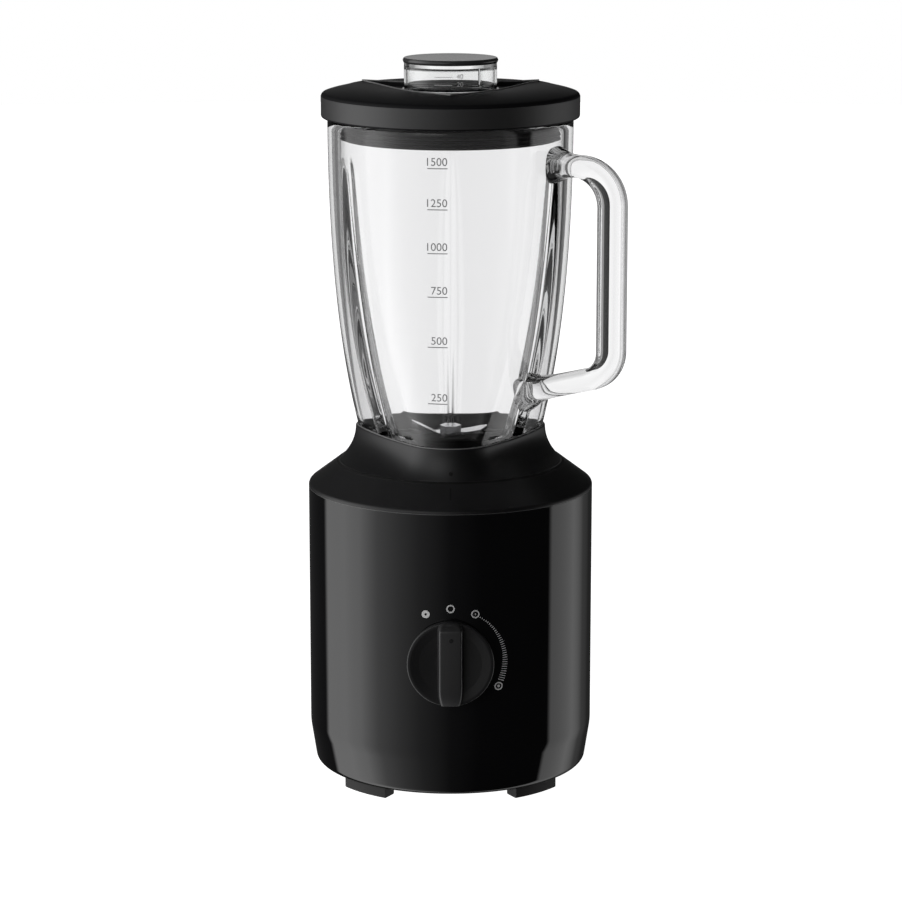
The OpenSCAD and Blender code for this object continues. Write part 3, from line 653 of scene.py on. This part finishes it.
def jug():
    """Glass jug: the wall and the handle, joined into one closed glass body."""
    sharp = 40
    wall = piece("jug_body", [jug_wall()], "jug", MATERIALS["clear_glass"], sharp,
                 stands_for=["glass_jug"])
    handle = piece("handle_tool", [jug_handle()], "jug", MATERIALS["clear_glass"])
    joint = wall.modifiers.new("join_handle", "BOOLEAN")
    joint.operation = "UNION"
    joint.solver = "MANIFOLD"
    joint.object = handle
    apply_modifiers(wall)
    bpy.data.objects.remove(handle)
    wall.data.shade_smooth()
    wall.data.set_sharp_from_angle(angle=math.radians(sharp))
    return wall


def apply_modifiers(obj):
    """Makes the shown shape of obj its own mesh."""
    depsgraph = bpy.context.evaluated_depsgraph_get()
    made = bpy.data.meshes.new_from_object(obj.evaluated_get(depsgraph))
    obj.modifiers.clear()
    obj.data = made


def collar():
    """Collar: a circle at the seam that flares up into the three-cornered rim around the glass."""
    turns = GLASS_TURNS
    height = COLLAR_Z - SEAM_Z

    def outline(f, inset=0, lift=0):
        """Ring of the outside, f of the way from the seam (0) to the rim (1)."""
        g = (1 - f) ** 2.1
        return ring(lambda t: three(t, *COLLAR_RIM) * (1 - g) + COLLAR_R * g - inset,
                    SEAM_Z + height * f + lift, turns)

    gap, well_r, seat_r = 0.5, 55.6, 61.6
    rings = [ring(COLLAR_R - 0.5, SEAT_Z, turns), ring(COLLAR_R, SEAT_Z + 0.5, turns)]
    rings += [outline(f) for f in levels(0, 0.96, 26)]
    rings += [outline(0.985, 0.1), outline(1, 0.35, -0.05), outline(1, 0.7)]
    rings += [ring(glass_radius(COLLAR_Z, -gap - 0.4), COLLAR_Z, turns),
              ring(glass_radius(COLLAR_Z, -gap), COLLAR_Z - 0.4, turns)]
    rings += [ring(glass_radius(z, -gap), z, turns) for z in levels(COLLAR_Z - 3, GLASS_LOW + 0.5, 8)]
    rings += [ring(r, z, turns) for r, z in ((well_r, GLASS_LOW), (well_r, GLASS_LOW - 0.8),
                                             (seat_r, SEAT_Z + 3.2), (seat_r, SEAT_Z))]
    # Painted highlight: a thin grey ring along the top of the collar's rim
    highlight_ring = closed_loft([outline(1, inset, lift)
                        for inset, lift in ((1.6, -0.1), (1.6, 0.3), (1.2, 0.5), (0.8, 0.3), (0.7, -0.1))])
    # The collar's inset dot, drawn black as painted shade of its hollow
    dot_r, dot_z, wall_r = 1.1, SEAM_Z + 4.4, COLLAR_R - 1.55
    points, faces = lathe([(0, -0.6), (dot_r, -0.6), (dot_r, 0.12, 0.1), (0, 0.12)], 24)
    dot = [(x, -wall_r - z, dot_z + y) for x, y, z in points], faces
    return [piece("collar_shell", [closed_loft(rings)], "jug", MATERIALS["matt_black"], 40,
                  stands_for=["jug_collar"]),
            piece("collar_rim_highlight", [highlight_ring], "jug", RIM_HIGHLIGHT_GREY),
            piece("collar_dot", [dot], "jug", RECESS_SHADE)]


def deck_z(radius):
    """Height of the deck's slope at a radius."""
    return SEAM_Z - (radius - DECK_R) * (SEAM_Z - DECK_Z - 1.4) / (BODY_R - DECK_R)


def seam_ring():
    """Painted shadow: a thin black ring in the seam between the deck and the collar, where the gap is in
    shade.
    """
    inner, outer = 65.0, 67.0
    profile = [(inner, SEAM_Z - 0.6), (outer, deck_z(outer) - 0.6), (outer, deck_z(outer) + 0.06),
               (DECK_R - 0.1, SEAM_Z + 0.08), (inner, SEAM_Z + 0.08)]
    return piece("seam_ring", [lathe(profile, 240)], "base", RECESS_SHADE)


def deck_line():
    """Short inset line on the deck that the dot on the collar meets when the jug sits right, drawn black as
    painted shade of its hollow.
    """
    near, far, half = 69.5, 76.5, 0.45
    corners = [(-half, near), (half, near), (half, far), (-half, far)]
    line = capped_loft([[(x, -r, deck_z(r) + proud) for x, r in corners] for proud in (-0.3, 0.06)])
    return piece("deck_line", [line], "base", RECESS_SHADE)


# Heights of the volume marks, by their volume in millilitres
VOLUMES = {1500: 368.2, 1250: 345.1, 1000: 320.3, 750: 295.4, 500: 266.4, 250: 233.1}


def on_glass(x, z, proud):
    """Point on the outside of the jug's front corner, x to the right."""
    corner = JUG_RIM[0] + (JUG_FOOT[0] - JUG_RIM[0]) * taper(z)
    t = math.degrees(math.asin(x / corner))
    return around(t, glass_radius(z)(t) + proud, z)


def bar_on_glass(x0, x1, z0, z1):
    """Thin closed bar on the glass."""
    xs = levels(x0, x1, 6)
    outline = [(x, z0) for x in xs] + [(x, z1) for x in reversed(xs)]
    return capped_loft([[on_glass(x, z, p) for x, z in outline] for p in (0.02, 0.12)])


def digits(text, right, base, height, place):
    """Digits as closed solids on a wall given by place(x, z, proud), with their right edge at x = right."""
    curve = bpy.data.curves.new("digits", "FONT")
    curve.body = text
    curve.size = 1.0
    curve.extrude = 0.05
    holder = bpy.data.objects.new("digits", curve)
    bpy.context.scene.collection.objects.link(holder)
    mesh = bpy.data.meshes.new_from_object(holder.evaluated_get(bpy.context.evaluated_depsgraph_get()))
    bpy.data.objects.remove(holder)
    bpy.data.curves.remove(curve)
    wide = max(v.co.x for v in mesh.vertices)
    scale = height / max(v.co.y for v in mesh.vertices)
    points = [place(right + (v.co.x - wide) * scale, base + v.co.y * scale,
                    0.07 + math.copysign(0.05, v.co.z)) for v in mesh.vertices]
    faces = [tuple(p.vertices) for p in mesh.polygons]
    bpy.data.meshes.remove(mesh)
    return points, faces


def volume_marks():
    """Printed scale on the front of the jug."""
    shells = []
    for volume, z in VOLUMES.items():
        shells.append(bar_on_glass(-12.9, -1.6, z - 0.25, z + 0.25))
        shells.append(digits(str(volume), -1.8, z + 1.6, 4.4, on_glass))
    return piece("volume_marks", shells, "jug", PRINT_GREY)


# ---- lid and cap ----

BAND_Z = RIM_Z + 1.8
SKIRT_Z = RIM_Z - 0.8
CREASE_Z = 404
CREASE_INSET = 2.4
DOME_Z = 410.5
DISH_Z = 404.6
HOLE_R = 27.3
DISH_MID = 29.5
DISH_CORNER = 59.5


def lid_radius(t):
    """The lid's outline."""
    return three(t, *LID_SHAPE)


def dish_radius(t):
    """Edge of the triangular dish, with its corners cut."""
    a = abs((t % 120 + 180) % 120 - 60)
    return min(DISH_CORNER, DISH_MID / math.cos(math.radians(60 - a)))


def crest(t):
    """Height of the dish's edge, lowest at the middle of each side."""
    return 406.1 + 1.7 * (dish_radius(t) - DISH_MID) / (DISH_CORNER - DISH_MID)


def lid_cover():
    """Lid: a three-cornered cover with a vertical band, a soft crease and a triangular dish around the cap."""
    turns = 360

    def outline(inset, z):
        return ring(lambda t: lid_radius(t) - inset, z, turns)

    def dome(f):
        """Ring of the flat dome between the crease (0) and the dish's edge (1), where it dips a little."""
        def radius(t):
            return (lid_radius(t) - CREASE_INSET) * (1 - f) + dish_radius(t) * f

        def free(t, r):
            return DOME_Z - (DOME_Z - CREASE_Z) * (r / (lid_radius(t) - CREASE_INSET)) ** 4

        def height(t):
            return free(t, radius(t)) - (free(t, dish_radius(t)) - crest(t)) * f ** 1.7

        return ring(radius, height, turns)

    def bowl(inset, lift, f):
        """Ring of the dish's steep side, f of the way from its floor (0) to its edge (1)."""
        return ring(lambda t: max(HOLE_R + 1.3, dish_radius(t) - inset),
                    lambda t: (DISH_Z + 0.05) * (1 - f) + crest(t) * f + lift, turns)

    tube_z, ceiling_z, tube_r = PLUG_Z + 8, 398, HOLE_R + 2.6
    plug_r, plug_inner = 58.3, 55.5
    rings = [ring(r, z, turns) for r, z in ((HOLE_R, tube_z), (HOLE_R, DISH_Z - 0.3),
                                            (HOLE_R + 0.3, DISH_Z), (HOLE_R + 1.1, DISH_Z))]
    rings += [bowl(1.5, 0, 0), bowl(1.1, 0, 0.12), bowl(0.35, 0, 0.8), bowl(0.15, 0.02, 0.97),
              bowl(0, 0.14, 1), bowl(-0.35, 0.16, 1)]
    rings += [dome(f) for f in (0.96, 0.93, 0.88, 0.78, 0.66, 0.54, 0.42, 0.31, 0.22, 0.14, 0.08, 0.03, 0)]
    rings += [outline(inset, CREASE_Z - down)
              for inset, down in ((1.4, 0.4), (0.7, 1.0), (0.25, 1.7), (0, 2.6))]
    rings += [outline(inset, SKIRT_Z + up)
              for inset, up in ((0, 1.2), (0.25, 0.5), (0.9, 0.1), (1.6, 0), (2.5, 0), (2.8, 0.4))]
    rings += [outline(2.8, BAND_Z)]
    rings += [ring(r, z, turns) for r, z in (
        (plug_r, BAND_Z), (plug_r, PLUG_Z + 0.4), (plug_r - 0.4, PLUG_Z), (plug_inner + 0.4, PLUG_Z),
        (plug_inner, PLUG_Z + 0.4), (plug_inner, ceiling_z), (tube_r, ceiling_z), (tube_r, tube_z))]
    # Painted sheen: a lighter skin of the lid's black over its vertical band
    band = closed_loft([outline(0.3, SKIRT_Z + 1), outline(-0.04, SKIRT_Z + 1.2),
                        outline(-0.04, CREASE_Z - 2.5), outline(0.3, CREASE_Z - 2.3)])
    return [piece("lid_cover", [closed_loft(rings)], "lid", LID_BLACK, 30,
                  stands_for=["lid"]),
            piece("lid_band_sheen", [band], "lid", BAND_LIT_SATIN)]


def dish_rim():
    """Painted highlight: a fine grey ring along the edge of the lid's dish."""
    def at(inset, lift):
        return ring(lambda t: dish_radius(t) - inset, lambda t: crest(t) + lift, 360)

    highlight_ring = closed_loft([at(0.15, -0.1), at(0.15, 0.45), at(-0.1, 0.7), at(-0.6, 0.7), at(-0.9, 0.5),
                        at(-0.9, -0.1)])
    return piece("dish_rim", [highlight_ring], "lid", RIM_HIGHLIGHT_GREY)


def plug_seal():
    """Ribbed rubber seal inside the glass, with a flange on the rim and a lip out to the glass's edge."""
    inner, wall, rib_r, flange_r = 58.35, 59.6, 61.5, 65.5
    top = BAND_Z - 0.1
    profile = [(inner, PLUG_Z + 0.5), (wall, PLUG_Z + 0.5)]
    for k in range(5):
        z = PLUG_Z + 1 + 2.4 * k
        profile += [(wall, z), (rib_r, z + 0.4, 0.25), (rib_r, z + 1, 0.25), (wall, z + 1.5)]
    profile += [(wall, RIM_Z + 0.1), (flange_r, RIM_Z + 0.1, 0.4), (flange_r, top, 0.4), (inner, top)]
    edge = glass_radius(RIM_Z, 2.5, False)
    lip = closed_loft([ring(r, z, GLASS_TURNS) for r, z in (
        (inner + 0.05, RIM_Z + 0.2), (edge, RIM_Z + 0.2), (edge, top), (inner + 0.05, top))])
    return piece("plug_seal", [lathe(profile, 240), lip], "lid", MATERIALS["rubber_black"],
                 stands_for=["lid_seal"])


def cup():
    """Clear measuring cup, upside down in the lid, with its flange and a small grip rib."""
    top = DISC_LOW - 0.02
    flange = DISH_Z + 0.1
    walls = [(25, CUP_LOW, 0.3), (26, CUP_LOW, 0.6), (26.6, flange), (28, flange, 0.3),
             (28, flange + 1.4, 0.4), (CUP_R, flange + 1.4, 0.3), (CUP_R, top), (0, top)]
    inside = [(0, top - 2), (24.8, top - 2, 2)]
    grip = rib(38, CUP_R + 0.1, CUP_R + 1.5, top - 12, top - 1.5)
    return [piece("cap_cup", [cup_shell(walls, inside)], "cap", MATERIALS["clear_cup"],
                  stands_for=["measuring_cup"]),
            piece("cap_rib", [grip], "cap", MATERIALS["clear_cup"]),
            cup_marks(top)]


def rib(azimuth, low_r, high_r, low_z, high_z):
    """Upright rib with a rounded face."""
    outline = rounded([(-1, low_r), (1, low_r), (1, high_r, 0.7), (-1, high_r, 0.7)], 4)
    spread = [(azimuth + math.degrees(x / r), r) for x, r in outline]
    return capped_loft([[around(t, r, z) for t, r in spread] for z in levels(low_z, high_z, 4)])


def cup_marks(top):
    """Small printed scale on the front of the cup."""
    def wrap(x, z, proud):
        return around(math.degrees(math.asin(x / CUP_R)), CUP_R + 0.02 + proud, z)

    shells = []
    xs = (-9, -4, 1)
    for text, z in (("20", top - 11), ("40", top - 6.5)):
        outline = [(x, z) for x in xs] + [(x, z + 0.3) for x in reversed(xs)]
        shells.append(capped_loft([[wrap(x, up, proud) for x, up in outline] for proud in (0.02, 0.1)]))
        shells.append(digits(text, 7.2, z - 0.6, 2.6, wrap))
    return piece("cup_marks", shells, "cap", PRINT_WHITE)


def cup_shell(walls, inside):
    """Closed shell of a cup: the inside's profile from the axis down, then the outside's up to the axis."""
    rings = [ring(r, z, 192) for r, z in rounded(inside + walls) if r > 1e-6]
    return poled_loft(rings, inside[0][1], walls[-1][1])


def cap_top():
    """Smoky disc on the cup, slightly dished, with a thick rounded edge and a lighter face: painted light on
    the top face.
    """
    profile = [(0, DISC_LOW), (DISC_R - 0.6, DISC_LOW, 0.3), (DISC_R, DISC_LOW + 1.4, 1.1),
               (DISC_R - 0.7, TOP_Z, 0.9), (DISC_R - 3, TOP_Z - 0.25, 1.5), (0, TOP_Z - 0.3)]
    # Painted light: a lighter skin over the disc's top face
    face_r = DISC_R - 1.6
    lit_face = [(0, TOP_Z - 0.9), (face_r, TOP_Z - 0.9), (face_r, TOP_Z - 0.08, 0.1),
             (DISC_R - 3, TOP_Z - 0.18), (0, TOP_Z - 0.22)]
    return [piece("cap_top", [lathe(profile)], "cap", SMOKE, stands_for=["cap_disc"]),
            piece("cap_lit_face", [lathe(lit_face)], "cap", SMOKE_LIT_TOP)]


# ---- studio ----

def ramp(tree, value, stops, low, high):
    """Colour ramp over a value between low and high, and its peak: stops are (value, brightness)."""
    place = add(tree, "ShaderNodeMapRange")
    place.inputs["From Min"].default_value = low
    place.inputs["From Max"].default_value = high
    tree.links.new(value, place.inputs["Value"])
    node = add(tree, "ShaderNodeValToRGB")
    band = node.color_ramp
    peak = max(v for _, v in stops)
    while len(band.elements) < len(stops):
        band.elements.new(0.5)
    for element, (at, bright) in zip(band.elements, stops):
        element.position = (at - low) / (high - low)
        element.color = (bright / peak, bright / peak, bright / peak, 1)
    tree.links.new(place.outputs["Result"], node.inputs["Fac"])
    return node.outputs["Color"], peak


def panorama(tree, compass, height):
    """Light from a band of directions: brightness by azimuth from the front in degrees, times brightness by
    height (the sine of the elevation)."""
    link = tree.links.new
    split = add(tree, "ShaderNodeSeparateXYZ")
    link(add(tree, "ShaderNodeTexCoord").outputs["Generated"], split.inputs["Vector"])
    front = add(tree, "ShaderNodeMath", operation="MULTIPLY")
    front.inputs[1].default_value = -1
    link(split.outputs["Y"], front.inputs[0])
    angle = add(tree, "ShaderNodeMath", operation="ARCTAN2")
    link(split.outputs["X"], angle.inputs[0])
    link(front.outputs[0], angle.inputs[1])
    stops = [(math.radians(azimuth), bright) for azimuth, bright in compass]
    by_azimuth, peak = ramp(tree, angle.outputs[0], stops, -math.pi, math.pi)
    by_height, _ = ramp(tree, split.outputs["Z"], height, -1, 1)
    both = add(tree, "ShaderNodeVectorMath", operation="MULTIPLY")
    link(by_azimuth, both.inputs[0])
    link(by_height, both.inputs[1])
    glow = add(tree, "ShaderNodeBackground", Strength=peak)
    link(both.outputs["Vector"], glow.inputs["Color"])
    return glow.outputs[0]


def joined(tree, kind, factor, first, second):
    """Two shaders, added or mixed by a factor."""
    node = add(tree, kind)
    inputs = [node.inputs[i] for i in range(len(node.inputs) - 2, len(node.inputs))]
    tree.links.new(first, inputs[0])
    tree.links.new(second, inputs[1])
    if factor is not None:
        tree.links.new(factor, node.inputs["Fac"])
    return node.outputs[0]


def studio():
    """White backdrop, a broad soft light at the left, a low narrow one at the right and a small high one in
    front. What is seen through the glass is a bright field that darkens to the sides."""
    world = bpy.data.worlds.new("studio")
    bpy.context.scene.world = world
    world.use_nodes = True
    tree = world.node_tree
    tree.nodes.clear()
    left = panorama(tree, [
        (-180, 0.5), (-173, 0.5), (-170, 0.04), (-123, 0.03), (-118, 1.3), (-95, 2.1), (-78, 2.1),
        (-61, 1.05), (-42, 0.6), (-25, 0.3), (0, 0.07), (25, 0.02), (170, 0.02), (173, 0.5), (180, 0.5)],
        [(-1, 1), (0.4, 1), (0.8, 0.06), (1, 0.06)])
    right = panorama(tree, [
        (-180, 0), (86, 0), (90, 1.1), (118, 1.1), (136, 0.2), (152, 0.03), (170, 0), (180, 0)],
        [(-1, 1), (-0.06, 1), (0.12, 0.05), (1, 0)])
    front = panorama(tree, [(-180, 0), (-50, 0), (-34, 1), (-14, 1), (2, 0), (180, 0)],
                     [(-1, 0), (0.02, 0), (0.2, 1), (0.5, 1), (0.68, 0), (1, 0)])
    through = panorama(tree, [
        (-180, 0.9), (-172, 0.98), (-163, 0.98), (-159, 0.72), (-140, 0.22), (-122, 0.08), (-118, 0.02),
        (-106, 0.02), (-102, 0.6), (-64, 0.7), (-58, 0.35), (58, 0.35), (64, 0.6), (74, 0.6), (78, 0.02),
        (98, 0.02), (103, 0.25), (125, 0.12), (140, 0.25), (156, 0.72), (163, 0.98), (172, 0.98), (180, 0.9)],
        [(-1, 0.55), (-0.5, 0.7), (-0.3, 1), (1, 1)])
    backdrop = add(tree, "ShaderNodeBackground", Color=(1, 1, 1, 1), Strength=1.0)
    path = add(tree, "ShaderNodeLightPath")
    sides = joined(tree, "ShaderNodeAddShader", None, left, right)
    lights = joined(tree, "ShaderNodeAddShader", None, sides, front)
    field = joined(tree, "ShaderNodeMixShader", path.outputs["Is Transmission Ray"], lights, through)
    final = joined(tree, "ShaderNodeMixShader", path.outputs["Is Camera Ray"], field, backdrop.outputs[0])
    tree.links.new(final, add(tree, "ShaderNodeOutputWorld").inputs["Surface"])


def floor():
    """Pale round table of 4 m radius. It glows, so that it joins the backdrop without an edge."""
    sides, radius = 64, 4
    mesh = bpy.data.meshes.new("floor")
    mesh.from_pydata(ring(radius, 0, sides), [], [tuple(range(sides))])
    obj = bpy.data.objects.new("floor", mesh)
    bpy.context.scene.collection.objects.link(obj)
    mat, tree, shader = nodes_of("table_white")
    shade = tint(tree, noise(tree, 6), (0.80, 0.80, 0.80), (0.82, 0.82, 0.82))
    tree.links.new(shade, shader.inputs["Base Color"])
    shader.inputs["Roughness"].default_value = 0.8
    shader.inputs["Emission Color"].default_value = (1, 1, 1, 1)
    shader.inputs["Emission Strength"].default_value = 1.1
    mesh.materials.append(mat)
    obj.visible_glossy = False
    obj.visible_diffuse = False
    obj.visible_transmission = False


def flags():
    """Dark cards behind the jug, in metres, seen through the glass alone: they draw its dark edges."""
    low, high = 0.1, 0.6
    for name, x0, x1, y, glow in (("left_card", -0.36, -0.205, 0.35, 0.16),
                                  ("near_card", 0.128, 0.2, 0.13, 0.004),
                                  ("right_card", 0.245, 0.38, 0.35, 0.16)):
        mesh = bpy.data.meshes.new(name)
        mesh.from_pydata([(x0, y, low), (x1, y, low), (x1, y, high), (x0, y, high)], [], [(0, 1, 2, 3)])
        obj = bpy.data.objects.new(name, mesh)
        bpy.context.scene.collection.objects.link(obj)
        mat, tree, shader = nodes_of(name)
        shade = noise(tree, 8)
        black = tint(tree, shade, (0.01, 0.01, 0.01), (0.012, 0.012, 0.012))
        tree.links.new(black, shader.inputs["Base Color"])
        tree.links.new(tint(tree, shade, (0.9, 0.9, 0.9), (1, 1, 1)), shader.inputs["Emission Color"])
        shader.inputs["Emission Strength"].default_value = glow
        mesh.materials.append(mat)
        for ray in ("camera", "diffuse", "glossy", "shadow"):
            setattr(obj, "visible_" + ray, False)


def camera():
    """Camera in front, 12 degrees above the horizon, aimed a little below the middle of the blender."""
    distance, pitch, aim = 1864, math.radians(12), 192.6
    side = 0.3
    data = bpy.data.cameras.new("camera")
    data.sensor_width = 36
    data.lens = 126.19
    data.clip_end = 50
    obj = bpy.data.objects.new("camera", data)
    bpy.context.scene.collection.objects.link(obj)
    obj.location = (side * MM, -distance * math.cos(pitch) * MM, (aim + distance * math.sin(pitch)) * MM)
    obj.rotation_euler = (math.pi / 2 - pitch, 0, 0)
    bpy.context.scene.camera = obj


def rendering():
    """Plain colour response, and enough bounces for the glass."""
    scene = bpy.context.scene
    scene.view_settings.view_transform = "Standard"
    scene.cycles.max_bounces = 32
    scene.cycles.transmission_bounces = 28
    scene.cycles.glossy_bounces = 12
    scene.cycles.diffuse_bounces = 4


camera()
studio()
floor()
flags()
rendering()
paint_frame()
housing()
edge_bead()
dial()
dial_marks()
pin_spring()
seam_ring()
deck_line()
jug()
collar()
volume_marks()
lid_cover()
dish_rim()
plug_seal()
cup()
cap_top()
